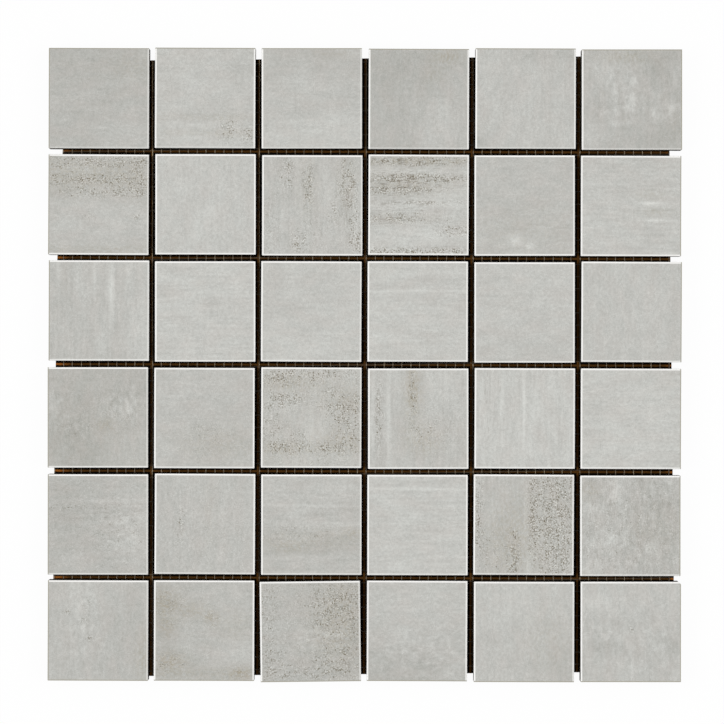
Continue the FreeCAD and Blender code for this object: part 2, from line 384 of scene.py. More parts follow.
# Tiles
# Square tiles sawn from a pressed porcelain slab with a printed cement look, so each shows
# another piece of the slab's streaks, haze and specks. A painted highlight whitens the ground
# edge of the face, painted shade darkens the sawn sides to olive brown, and keying grooves cross
# the back.
CORNER_EASE = 0.2 * MM
BEVEL = 0.2 * MM
CHIP = 1.2 * MM
GROOVE_WIDTH = 2.0 * MM
GROOVE_DEPTH = 0.5 * MM
GROOVE_PITCH = 7.4 * MM
GROOVE_DRAFT = 0.1 * MM
NICK_DEPTH = 0.06 * MM
# Two waves each for a tile's sides and ends, in radians a metre: crests that meet are nicks
SIDE_NICKS = (900.0, 2300.0)
END_NICKS = (1000.0, 2100.0)
NICK_PHASE_STEPS = (1.7, 2.9)
LAYING_TURN_DEG = 0.15
LAYING_PHASE_STEPS = (1.3, 2.2)
CROOKED_TURN_DEG = 0.8
# Tiles go by their row, from the top, and column, from the left
CROOKED = (6, 3)
CHIPPED = (6, 6)
# Tiles laid with the slab's streaks along X; all others have them along Y
ALONG_X = {
    (1, 1), (1, 2), (1, 3), (2, 1), (2, 4), (2, 5), (2, 6), (3, 2), (3, 3), (3, 4),
    (3, 5), (4, 2), (4, 6), (5, 1), (5, 3), (5, 4), (6, 2), (6, 3), (6, 4),
}
FACE_STEP = 0.9 * MM
# A painted highlight: the almost white band along the ground edge. At the sheet's own
# edge it is narrower and a darker grey, a painted shade.
RIM_WIDTH = 0.77 * MM
RIM_FADE = 0.16 * MM
OUTER_RIM_WIDTH = 0.45 * MM
# How bright the painted highlight along the ground edge is at the foot of each row of tiles and
# at the right of each column; it is full at the tops and at the left, as if lit from the upper left
LOWER_HIGHLIGHT = (0.3, 0.8, 0.65, 0.7, 0.5, 0.0)
RIGHT_HIGHLIGHT = (0.5, 0.85, 0.5, 0.8, 0.65, 0.0)
# A tile's own stretch of slab starts a step from its neighbours' on the slab map, in
# millimetres, and the tiles laid along X are from rows further on
SLAB_STEP = 60.0
ROWS_FURTHER_ON = 10
# How strongly the streaks show on most tiles and on the streaky ones
STREAKS = 0.14
STRONG_STREAKS = 0.28
STREAKY = {
    (2, 3), (2, 4), (2, 6), (3, 1), (3, 2), (3, 4), (4, 4), (4, 5), (4, 6), (5, 3), (5, 4), (5, 5),
}
# A tile's tone, from 0 for the grey #989890 through 0.5 for #C1C1BC to 1 for #E7E9E4; all
# others are at MIDDLE_SHADE
MIDDLE_SHADE = 0.52
SHADES = (
    (0.38, {(4, 1)}),
    (0.43, {(1, 1), (1, 4), (1, 6), (5, 1), (5, 6), (6, 2), (6, 3)}),
    (0.49, {(2, 1), (2, 5), (4, 2), (5, 3), (5, 5), (6, 1), (6, 4)}),
    (0.56, {(1, 2), (2, 4), (2, 6), (3, 5)}),
    (0.58, {(2, 2), (3, 2), (3, 3), (3, 4), (4, 5), (4, 6), (5, 4)}),
)

# What stands out on a tile: kind, middle, half width and half height as shares of half a
# tile (x to the right, y up the sheet), and strength. A "pale" mark of negative strength is
# a darker cloud.
MARKS = {
    (1, 1): [
        ("stain", 0.75, 0.6, 0.5, 0.3, 0.5), ("pale", -0.2, 0.7, 1.0, 0.5, -0.28),
        ("pale", 0.6, -0.7, 0.8, 0.4, 0.3),
    ],
    (1, 2): [
        ("specks", 0.5, -0.62, 0.28, 0.28, 0.7), ("specks", 0.9, -0.75, 0.15, 0.2, 0.8),
        ("stain", 0.1, -0.38, 1.0, 0.07, 0.5), ("stain", 0.0, -0.7, 0.9, 0.06, 0.5),
        ("pale", 0.1, -0.38, 1.0, 0.07, -0.1), ("pale", 0.8, 0.7, 0.5, 0.4, -0.25),
        ("pale", 0.0, -0.85, 0.8, 0.2, 0.25),
        ("stain", 0.5, -0.6, 0.4, 0.3, 0.2), ("pale", -0.2, -0.54, 0.8, 0.08, 0.3),
    ],
    (1, 3): [
        ("stain", 0.4, 0.9, 0.5, 0.12, 0.5), ("pale", 0.0, -0.75, 1.2, 0.35, 0.28),
        ("pale", -0.2, 0.8, 1.0, 0.4, -0.28), ("pale", 0.3, -0.45, 0.6, 0.06, 0.25),
    ],
    (1, 4): [
        ("stain", 0.55, 0.85, 0.3, 0.15, 1.2), ("stain", 0.3, 0.5, 0.2, 0.2, 0.5),
        ("pale", -0.3, 0.6, 0.8, 0.5, -0.34), ("pale", 0.5, -0.55, 0.45, 0.55, 0.42),
    ],
    (1, 5): [
        ("pale", -0.1, -0.4, 0.6, 0.6, 0.12), ("pale", 0.9, 0.8, 0.3, 0.3, -0.25),
        ("pale", 0.15, 0.87, 0.4, 0.14, -0.3), ("pale", -0.85, -0.87, 0.25, 0.15, -0.3),
        ("pale", 0.5, 0.0, 0.07, 0.8, -0.18),
    ],
    (1, 6): [
        ("haze", -0.2, 0.1, 0.5, 0.7, 0.9), ("haze", 0.8, -0.2, 0.25, 0.4, 0.8),
        ("pale", 0.0, -0.03, 0.08, 0.28, 0.7), ("pale", -0.17, 0.25, 0.05, 0.25, 0.5),
        ("pale", 0.05, 0.4, 0.05, 0.12, 0.6), ("pale", -0.3, -0.25, 0.08, 0.1, 0.5),
        ("pale", -0.55, -0.25, 0.08, 0.1, 0.5), ("pale", 0.43, -0.25, 0.06, 0.12, 0.7),
        ("pale", 0.8, -0.2, 0.08, 0.2, 0.5), ("pale", 0.85, 0.4, 0.04, 0.2, 0.5),
        ("pale", -0.2, -0.48, 0.2, 0.04, 0.5), ("pale", -0.4, 0.45, 0.06, 0.15, 0.3),
        ("stain", -0.1, 0.85, 0.5, 0.12, 0.9), ("stain", 0.85, -0.6, 0.3, 0.4, 0.3),
        ("pale", 0.85, 0.2, 0.3, 1.0, -0.3), ("pale", -0.8, -0.75, 0.35, 0.35, 0.42),
        ("pale", -0.6, 0.55, 0.3, 0.35, 0.35), ("pale", 0.45, 0.65, 0.25, 0.45, -0.35),
        ("pale", 0.4, -0.75, 0.5, 0.25, -0.35),
    ],
    (2, 1): [
        ("specks", 0.0, 0.85, 3.0, 0.15, 0.8), ("specks", 0.0, 0.5, 1.6, 0.13, 1.0),
        ("specks", 0.2, 0.24, 1.2, 0.1, 0.9), ("specks", 0.8, 0.5, 0.25, 0.4, 0.5),
        ("specks", 0.75, -0.25, 0.12, 0.1, 0.7), ("specks", -0.2, -0.22, 0.15, 0.08, 0.5),
        ("stain", 0.0, 0.6, 3.0, 0.4, 0.9), ("stain", 0.0, -0.9, 3.0, 0.1, 0.6),
        ("pale", -0.8, 0.4, 0.4, 0.6, -0.2), ("pale", 0.3, -0.35, 1.2, 0.45, 0.26),
    ],
    (2, 2): [("pale", 0.85, 0.4, 0.25, 0.7, -0.18), ("pale", 0.0, -0.3, 0.4, 0.5, 0.2)],
    (2, 3): [
        ("specks", -0.5, 0.65, 0.18, 0.45, 0.7), ("specks", -0.08, 0.4, 0.14, 0.5, 0.95),
        ("specks", 0.65, 0.5, 0.2, 0.5, 0.8), ("specks", 0.8, -0.2, 0.1, 1.0, 0.7),
        ("specks", 0.42, -0.15, 0.12, 0.2, 0.6), ("specks", -0.28, -0.75, 0.15, 0.18, 0.9),
        ("specks", 0.95, -0.7, 0.12, 0.35, 0.9), ("specks", -0.9, -0.4, 0.25, 0.7, 0.45),
        ("specks", 0.1, -0.6, 0.6, 0.5, 0.3), ("stain", -0.08, 0.4, 0.2, 0.6, 0.55),
        ("stain", 0.7, 0.4, 0.25, 0.7, 0.5), ("pale", 0.25, 0.5, 0.1, 0.6, 0.25),
        ("pale", -0.28, 0.5, 0.05, 0.5, 0.3), ("pale", 0.85, -0.1, 0.04, 0.8, 0.5),
        ("scratches", 0.7, 0.0, 0.12, 0.9, 0.5),
    ],
    (2, 4): [
        ("specks", -0.1, 0.88, 1.5, 0.1, 1.0), ("specks", -0.1, 0.53, 1.2, 0.1, 1.3),
        ("specks", -0.45, 0.3, 0.75, 0.08, 1.2), ("specks", 0.0, 0.04, 0.7, 0.03, 0.9),
        ("specks", -0.5, -0.27, 0.8, 0.1, 0.8), ("specks", 0.0, -0.93, 1.5, 0.08, 1.2),
        ("specks", 0.75, -0.52, 0.35, 0.1, 0.8), ("stain", -0.3, 0.42, 1.0, 0.25, 0.85),
        ("stain", -0.1, 0.88, 1.5, 0.1, 1.3), ("stain", -0.4, -0.28, 0.8, 0.1, 0.5),
        ("scratches", -0.5, -0.08, 0.7, 0.08, 0.5), ("scratches", 0.0, 0.04, 0.7, 0.03, 1.0),
        ("scratches", -0.4, 0.42, 0.9, 0.25, 1.0), ("scratches", -0.4, -0.28, 0.8, 0.08, 0.6),
        ("scratches", 0.0, 0.88, 1.3, 0.1, 0.8), ("specks", 0.0, -0.2, 2.0, 0.8, 0.2),
        ("pale", 0.5, 0.15, 0.6, 0.25, 0.3), ("pale", 0.2, -0.6, 1.0, 0.2, 0.28),
        ("pale", -0.2, 0.66, 1.0, 0.05, 0.5), ("pale", -0.2, -0.02, 0.7, 0.04, 0.4),
    ],
    (2, 5): [
        ("pale", -0.2, -0.7, 0.13, 0.1, 0.9), ("pale", 0.1, -0.8, 0.11, 0.07, 0.8),
        ("pale", -0.08, -0.95, 0.12, 0.04, 0.5), ("stain", 0.0, -0.5, 1.2, 0.5, 0.3),
    ],
    (2, 6): [
        ("pale", 0.41, 0.05, 0.25, 0.035, 1.6), ("pale", 0.48, -0.29, 0.28, 0.035, 0.9),
        ("pale", 0.7, -0.42, 0.2, 0.03, 0.4), ("stain", 0.4, 0.22, 0.3, 0.1, 0.6),
        ("stain", 0.5, -0.12, 0.35, 0.08, 0.7), ("pale", 0.5, -0.4, 0.5, 0.3, -0.22),
    ],
    (3, 1): [
        ("pale", -0.79, 0.75, 0.04, 0.3, 0.7), ("pale", -0.42, 0.75, 0.04, 0.3, 0.6),
        ("pale", -0.1, 0.75, 0.04, 0.3, 0.45), ("pale", 0.25, 0.6, 0.05, 0.45, 0.8),
        ("pale", 0.25, 0.0, 0.04, 0.4, 0.5), ("pale", 0.59, 0.75, 0.04, 0.3, 0.4),
        ("pale", -0.7, 0.2, 0.5, 1.2, -0.25), ("pale", 0.95, -0.45, 0.3, 0.9, 0.42),
    ],
    (3, 2): [("pale", 0.4, 0.7, 0.6, 0.4, 0.22)],
    (3, 3): [("pale", -0.3, -0.8, 0.5, 0.25, 0.3), ("pale", -0.5, 0.25, 0.6, 0.3, -0.13)],
    (3, 4): [
        ("pale", 0.3, 0.77, 0.8, 0.03, 0.5), ("pale", 0.0, 0.4, 1.5, 0.03, 0.6),
        ("pale", -0.5, 0.07, 0.6, 0.03, 0.4), ("pale", -0.75, -0.5, 0.3, 0.5, 0.18),
    ],
    (3, 5): [("pale", 0.0, -0.8, 1.2, 0.35, -0.13)],
    (3, 6): [("pale", 0.4, 0.1, 0.5, 0.6, 0.2)],
    (4, 1): [
        ("haze", 0.5, 0.25, 0.4, 0.35, 1.2), ("haze", -0.8, 0.35, 0.3, 0.4, 0.8),
        ("haze", -0.5, -0.2, 0.3, 0.2, 0.8), ("stain", 0.0, -0.3, 1.5, 1.3, 0.25),
        ("stain", 0.15, -0.15, 0.15, 0.12, 0.9), ("specks", -0.5, -0.2, 0.3, 0.15, 0.3),
        ("specks", 0.4, 0.1, 0.6, 0.4, 0.25), ("pale", 0.65, 0.15, 0.28, 0.22, 0.42),
        ("pale", 0.7, -0.65, 0.5, 0.5, 0.32), ("pale", -0.5, -0.55, 0.6, 0.5, -0.28),
        ("pale", -0.92, 0.35, 0.12, 0.25, 0.4), ("pale", -0.35, 0.35, 0.3, 0.35, -0.18),
        ("specks", 0.0, 0.0, 2.0, 2.0, 0.1),
    ],
    (4, 2): [
        ("stain", 0.3, -0.5, 0.8, 0.35, 0.6), ("specks", 0.2, -0.5, 0.7, 0.35, 0.25),
        ("specks", -0.1, -0.2, 0.25, 0.1, 0.3), ("pale", -0.5, 0.6, 0.6, 0.5, 0.2),
        ("specks", 0.0, 0.0, 2.0, 2.0, 0.1),
    ],
    (4, 3): [
        ("specks", -0.7, 0.8, 0.5, 0.18, 0.7), ("specks", 0.3, 0.85, 0.8, 0.15, 0.5),
        ("specks", -0.6, 0.35, 0.4, 0.15, 0.9), ("specks", 0.6, 0.3, 0.5, 0.25, 0.7),
        ("specks", 0.75, -0.2, 0.4, 0.35, 0.75), ("specks", -0.8, -0.2, 0.3, 0.3, 0.7),
        ("specks", -0.55, -0.6, 0.5, 0.15, 0.9), ("specks", 0.5, -0.6, 0.6, 0.15, 0.9),
        ("specks", 0.0, -0.9, 1.5, 0.1, 0.4), ("specks", -0.25, -0.35, 0.15, 0.12, 0.9),
        ("specks", 0.0, 0.6, 2.0, 0.6, 0.25), ("stain", 0.0, 0.0, 2.0, 2.0, 0.25),
        ("stain", -0.5, 0.7, 0.7, 0.2, 0.8), ("stain", 0.75, 0.35, 0.4, 0.3, 0.7),
        ("stain", -0.6, -0.62, 0.6, 0.15, 0.9), ("stain", 0.7, -0.5, 0.5, 0.25, 0.8),
        ("pale", 0.05, -0.25, 0.25, 0.3, 0.42), ("pale", -0.45, 0.15, 0.2, 0.08, 0.2),
        ("pale", 0.0, -0.85, 0.4, 0.15, 0.3), ("pale", 0.3, 0.7, 0.6, 0.4, 0.25),
        ("pale", -0.6, -0.2, 0.4, 0.3, -0.15),
    ],
    (4, 4): [
        ("specks", -0.11, 0.55, 0.1, 0.55, 0.75), ("specks", -0.79, 0.1, 0.09, 0.9, 0.7),
        ("specks", 0.1, -0.3, 0.4, 0.3, 0.28), ("stain", -0.11, 0.55, 0.16, 0.6, 1.6),
        ("pale", -0.59, 0.0, 0.05, 0.8, 0.8), ("pale", -0.9, 0.0, 0.05, 0.8, 0.6),
        ("scratches", -0.79, 0.0, 0.1, 0.9, 0.5), ("specks", 0.4, -0.2, 0.7, 0.8, 0.27),
        ("stain", 0.1, -0.45, 0.4, 0.3, 0.9), ("pale", 0.4, 0.7, 0.3, 0.3, 0.45),
    ],
    (4, 5): [
        ("pale", -0.02, 0.2, 0.035, 0.65, 0.8), ("pale", -0.47, 0.3, 0.035, 0.4, 0.5),
        ("pale", -0.45, -0.5, 0.035, 0.15, 0.6), ("pale", 0.08, -0.6, 0.035, 0.15, 0.5),
        ("pale", 0.22, 0.2, 0.1, 0.25, 0.3), ("pale", -0.85, 0.2, 0.04, 0.8, 0.3),
        ("scratches", -0.77, 0.65, 0.05, 0.4, 0.5), ("scratches", -0.5, 0.6, 0.04, 0.3, 0.4),
        ("scratches", -0.72, -0.1, 0.05, 0.15, 0.5), ("scratches", -0.42, -0.1, 0.06, 0.2, 0.3),
        ("pale", 0.7, 0.2, 0.5, 1.0, 0.17), ("pale", -0.3, -0.8, 0.6, 0.3, 0.15),
    ],
    (4, 6): [("pale", 0.4, 0.0, 0.07, 1.0, 0.2), ("pale", 0.1, -0.1, 0.8, 0.6, 0.14)],
    (5, 1): [
        ("haze", 0.5, 0.0, 0.7, 0.5, 0.8), ("pale", 0.2, 0.48, 0.8, 0.04, 0.4),
        ("specks", -0.5, 0.33, 0.6, 0.06, 0.35), ("specks", 0.5, -0.1, 0.7, 0.6, 0.17),
        ("specks", 0.0, 0.0, 2.0, 2.0, 0.2), ("pale", -0.5, -0.7, 0.3, 0.12, 0.3),
        ("pale", 0.7, -0.3, 0.4, 0.7, 0.36), ("pale", -0.5, 0.4, 0.6, 0.7, -0.28),
    ],
    (5, 2): [
        ("specks", -0.48, 0.0, 0.07, 0.35, 0.5), ("specks", 0.0, 0.0, 2.0, 2.0, 0.2),
        ("pale", 0.35, -0.2, 0.04, 0.5, 0.35), ("stain", 0.1, 0.1, 0.15, 1.0, 0.3),
        ("pale", -0.8, 0.0, 0.5, 1.5, -0.14),
    ],
    (5, 3): [
        ("pale", 0.0, 0.38, 1.5, 0.03, 0.5), ("pale", 0.1, 0.01, 1.2, 0.035, 0.45),
        ("pale", 0.0, -0.66, 1.5, 0.03, 0.4), ("pale", -0.2, 0.75, 1.0, 0.03, 0.3),
        ("pale", 0.2, 0.7, 1.0, 0.35, 0.17), ("stain", 0.0, -0.3, 1.6, 0.22, 0.5),
        ("stain", -0.4, -0.45, 0.35, 0.1, 0.8), ("stain", 0.8, -0.15, 0.2, 0.1, 0.8),
        ("pale", -0.1, -0.45, 1.6, 0.24, -0.3), ("pale", -0.6, -0.1, 0.6, 0.2, -0.15),
        ("specks", -0.3, -0.2, 1.2, 0.2, 0.3), ("specks", 0.0, 0.0, 2.0, 2.0, 0.12),
    ],
    (5, 4): [("pale", 0.0, 0.72, 1.5, 0.035, 0.5)],
    (5, 5): [
        ("specks", -0.92, 0.2, 0.14, 1.0, 0.8), ("specks", 0.18, 0.3, 0.11, 1.0, 1.3),
        ("specks", 0.42, 0.0, 0.14, 1.5, 0.8), ("specks", 0.75, 0.0, 0.27, 2.0, 1.2),
        ("specks", -0.18, -0.6, 0.13, 0.5, 1.2), ("specks", -0.6, -0.6, 0.3, 0.6, 0.45),
        ("stain", -0.3, -0.3, 0.5, 0.8, 0.9), ("stain", 0.5, 0.0, 0.7, 2.0, 0.35),
        ("pale", 0.03, 0.3, 0.04, 0.6, 0.5), ("pale", 0.1, -0.7, 0.06, 0.25, 0.4),
    ],
    (5, 6): [
        ("haze", 0.0, 0.0, 2.0, 2.0, 0.7), ("pale", -0.28, 0.75, 0.14, 0.35, 0.75),
        ("pale", -0.4, -0.28, 0.3, 0.16, 0.5), ("pale", 0.43, -0.45, 0.15, 0.12, 0.6),
        ("stain", -0.8, 0.7, 0.2, 0.2, 0.8), ("specks", 0.0, 0.0, 2.0, 2.0, 0.35),
        ("scratches", 0.0, 0.0, 2.0, 2.0, 0.2), ("stain", 0.5, -0.1, 0.6, 0.5, 0.4),
        ("pale", -0.75, -0.1, 0.3, 1.0, 0.2), ("pale", -0.8, 0.35, 0.2, 0.12, 0.4),
        ("pale", -0.85, -0.85, 0.2, 0.15, 0.5), ("pale", 0.65, 0.35, 0.3, 0.5, -0.22),
    ],
    (6, 1): [
        ("haze", -0.3, 0.0, 0.5, 0.9, 0.65), ("specks", -0.6, 0.37, 0.08, 0.05, 1.2),
        ("pale", -0.35, 0.2, 0.25, 1.0, 0.2), ("specks", -0.15, -0.15, 0.1, 0.06, 0.9),
        ("pale", 0.45, -0.1, 0.5, 1.0, -0.24),
        ("specks", -0.28, 0.18, 0.08, 0.05, 1.2), ("specks", -0.2, 0.5, 0.1, 0.2, 0.4),
        ("stain", 0.9, -0.5, 0.15, 0.5, 1.1), ("pale", -0.45, 0.6, 0.3, 0.4, 0.16),
        ("specks", 0.0, 0.0, 2.0, 2.0, 0.07),
    ],
    (6, 2): [
        ("stain", -0.8, 0.55, 0.3, 0.3, 1.6), ("stain", -0.2, 0.4, 0.3, 0.15, 1.1),
        ("stain", 0.15, 0.25, 0.12, 0.12, 1.4), ("stain", -0.75, 0.05, 0.2, 0.2, 1.0),
        ("stain", -0.7, -0.6, 0.35, 0.18, 1.5), ("stain", 0.75, -0.85, 0.25, 0.12, 1.3),
        ("specks", -0.75, 0.5, 0.35, 0.35, 0.42), ("specks", -0.7, -0.65, 0.35, 0.2, 0.4),
        ("specks", 0.7, -0.85, 0.4, 0.12, 0.35), ("specks", 0.15, 0.25, 0.15, 0.15, 0.35),
        ("pale", 0.4, 0.5, 0.7, 0.6, 0.26), ("pale", 0.7, -0.4, 0.4, 0.3, 0.3),
        ("pale", -0.8, 0.1, 0.2, 0.6, -0.25), ("specks", 0.0, 0.0, 2.0, 2.0, 0.16),
        ("stain", 0.0, -0.85, 2.0, 0.12, 0.7), ("stain", 0.6, 0.1, 0.4, 0.3, 0.5),
    ],
    (6, 3): [
        ("specks", 0.6, 0.75, 0.7, 0.3, 0.45), ("specks", 0.75, 0.25, 0.4, 0.5, 0.5),
        ("specks", 0.25, 0.35, 0.3, 0.3, 0.5), ("specks", 0.55, -0.6, 0.45, 0.35, 0.55),
        ("specks", -0.85, 0.5, 0.22, 0.5, 0.45), ("specks", -0.8, -0.6, 0.3, 0.5, 0.4),
        ("specks", -0.2, -0.85, 0.8, 0.18, 0.35), ("specks", 0.0, 0.0, 2.0, 2.0, 0.26),
        ("pale", 0.4, -0.05, 0.25, 0.1, 0.6), ("pale", -0.15, -0.15, 0.14, 0.15, 0.5),
        ("stain", 0.6, 0.2, 0.6, 0.9, 1.05),
        ("haze", 0.2, -0.2, 0.6, 0.4, 1.0),
    ],
    (6, 4): [
        ("haze", 0.0, -0.5, 1.5, 0.5, 0.7), ("pale", 0.3, 0.6, 1.0, 0.5, 0.3),
        ("pale", -0.4, -0.78, 1.0, 0.35, -0.5),
    ],
    (6, 5): [
        ("stain", 0.5, -0.2, 0.5, 0.7, 0.4), ("pale", 0.0, 0.7, 0.6, 0.4, 0.28),
        ("pale", 0.85, -0.75, 0.35, 0.45, -0.4),
    ],
    (6, 6): [
        ("haze", 0.0, -0.3, 1.5, 0.7, 0.6), ("pale", -0.5, -0.3, 0.5, 0.12, -0.5),
        ("pale", 0.85, -0.25, 0.2, 0.2, -0.6), ("pale", -0.6, 0.22, 0.5, 0.06, -0.2),
        ("pale", -0.65, 0.58, 0.35, 0.2, 0.5), ("pale", 0.05, -0.75, 0.25, 0.2, 0.5),
        ("pale", 0.8, 0.75, 0.3, 0.3, 0.28), ("pale", 0.3, -0.6, 0.3, 0.6, -0.15),
        ("specks", 0.02, 0.05, 0.06, 0.08, 0.9),
    ],
}


def marks_on(tile, x, y):
    """How strong each kind of mark is at shares x, y of half a tile.

    A mark is a bump exp(-(dx / width)^2 - (dy / height)^2) times its strength, and marks of
    one kind add up.
    """
    kinds = ("specks", "scratches", "stain", "haze", "pale")
    strength = {kind: np.zeros_like(x) for kind in kinds}
    for kind, middle_x, middle_y, width, height, amount in MARKS.get(tile, []):
        square = ((x - middle_x) / width) ** 2 + ((y - middle_y) / height) ** 2
        strength[kind] += amount * np.exp(-square)
    return strength


def face_lines(half):
    """Places of the grid lines across a tile: close at the edges and even between them."""
    fade = RIM_FADE / 2
    edge = np.array([
        0.0, BEVEL / 2, BEVEL, OUTER_RIM_WIDTH - fade, OUTER_RIM_WIDTH + fade,
        RIM_WIDTH - fade, RIM_WIDTH + fade, CHIP,
    ])
    inner = half - edge[-1]
    even = np.linspace(-inner, inner, int(2 * inner / FACE_STEP) + 1)
    return np.concatenate([edge - half, even[1:-1], (half - edge)[::-1]])


def tile_mesh(tile, half, thick):
    """A tile as a closed section carried along its own Y, in its own frame.

    The section's half width at y is half - max(0, |y| - (half - cut)), so it slopes off the
    four upright corners. The face lies at the thickness less max(0, bevel - d), where d is the
    distance to the nearest edge, and the bevel is a little deeper where the edge is nicked:
    by the nick depth times the square of two sines' product, where that is above zero. The
    back is level but for its grooves.
    """
    lines = face_lines(half)
    cut_left = np.full_like(lines, CORNER_EASE)
    cut_right = np.where((lines > 0) & (tile == CHIPPED), CHIP, CORNER_EASE)
    left = half - np.maximum(0, np.abs(lines) - (half - cut_left))
    right = half - np.maximum(0, np.abs(lines) - (half - cut_right))
    width = np.where(lines[None, :] < 0, left[:, None], right[:, None])
    x = lines[None, :] / half * width
    y = np.broadcast_to(lines[:, None], x.shape)
    phase = NICK_PHASE_STEPS[0] * tile[0] + NICK_PHASE_STEPS[1] * tile[1]
    slow, fast = SIDE_NICKS
    crests = np.sin(y * slow + phase) * np.sin(y * fast + 2 * phase)
    side_nick = NICK_DEPTH * np.maximum(0, crests) ** 2
    slow, fast = END_NICKS
    crests = np.sin(x * slow - phase) * np.sin(x * fast + phase)
    end_nick = NICK_DEPTH * np.maximum(0, crests) ** 2
    side_distance = width - np.abs(x)
    end_distance = half - np.abs(y)
    corner = np.where(lines[None, :] < 0, cut_left[:, None], cut_right[:, None])
    corner_distance = (2 * half - corner - np.abs(x) - np.abs(y)) / math.sqrt(2)
    drop = np.maximum(BEVEL + side_nick - side_distance, BEVEL + end_nick - end_distance)
    drop = np.maximum(drop, BEVEL - corner_distance)
    face = np.stack([x, y, thick - np.maximum(0, drop)], axis=-1)
    grooves = int((2 * half - GROOVE_WIDTH) / GROOVE_PITCH)
    middles = (np.arange(grooves) - (grooves - 1) / 2) * GROOVE_PITCH
    lip, floor = GROOVE_WIDTH / 2, GROOVE_WIDTH / 2 - GROOVE_DRAFT
    inner_x = (middles[:, None] + np.array([-lip, -floor, floor, lip])).ravel()
    inner_z = np.tile([0.0, GROOVE_DEPTH, GROOVE_DEPTH, 0.0], grooves)
    count = len(lines)
    inner_x = np.tile(inner_x[::-1], (count, 1))
    back_x = np.concatenate([right[:, None], inner_x, -left[:, None]], axis=1)
    back_y = np.broadcast_to(lines[:, None], back_x.shape)
    back_z = np.broadcast_to(np.concatenate([[0.0], inner_z, [0.0]]), back_x.shape)
    back = np.stack([back_x, back_y, back_z], axis=-1)
    loop = np.concatenate([face, back], axis=1)
    size = loop.shape[1]
    quads = grid_faces(count, size, closed_across=True)[:, ::-1]
    first_cap = np.arange(size)
    last_cap = first_cap[::-1] + (count - 1) * size
    is_face = (quads % size < count).all(axis=1)
    return loop.reshape(-1, 3), quads, [first_cap, last_cap], is_face


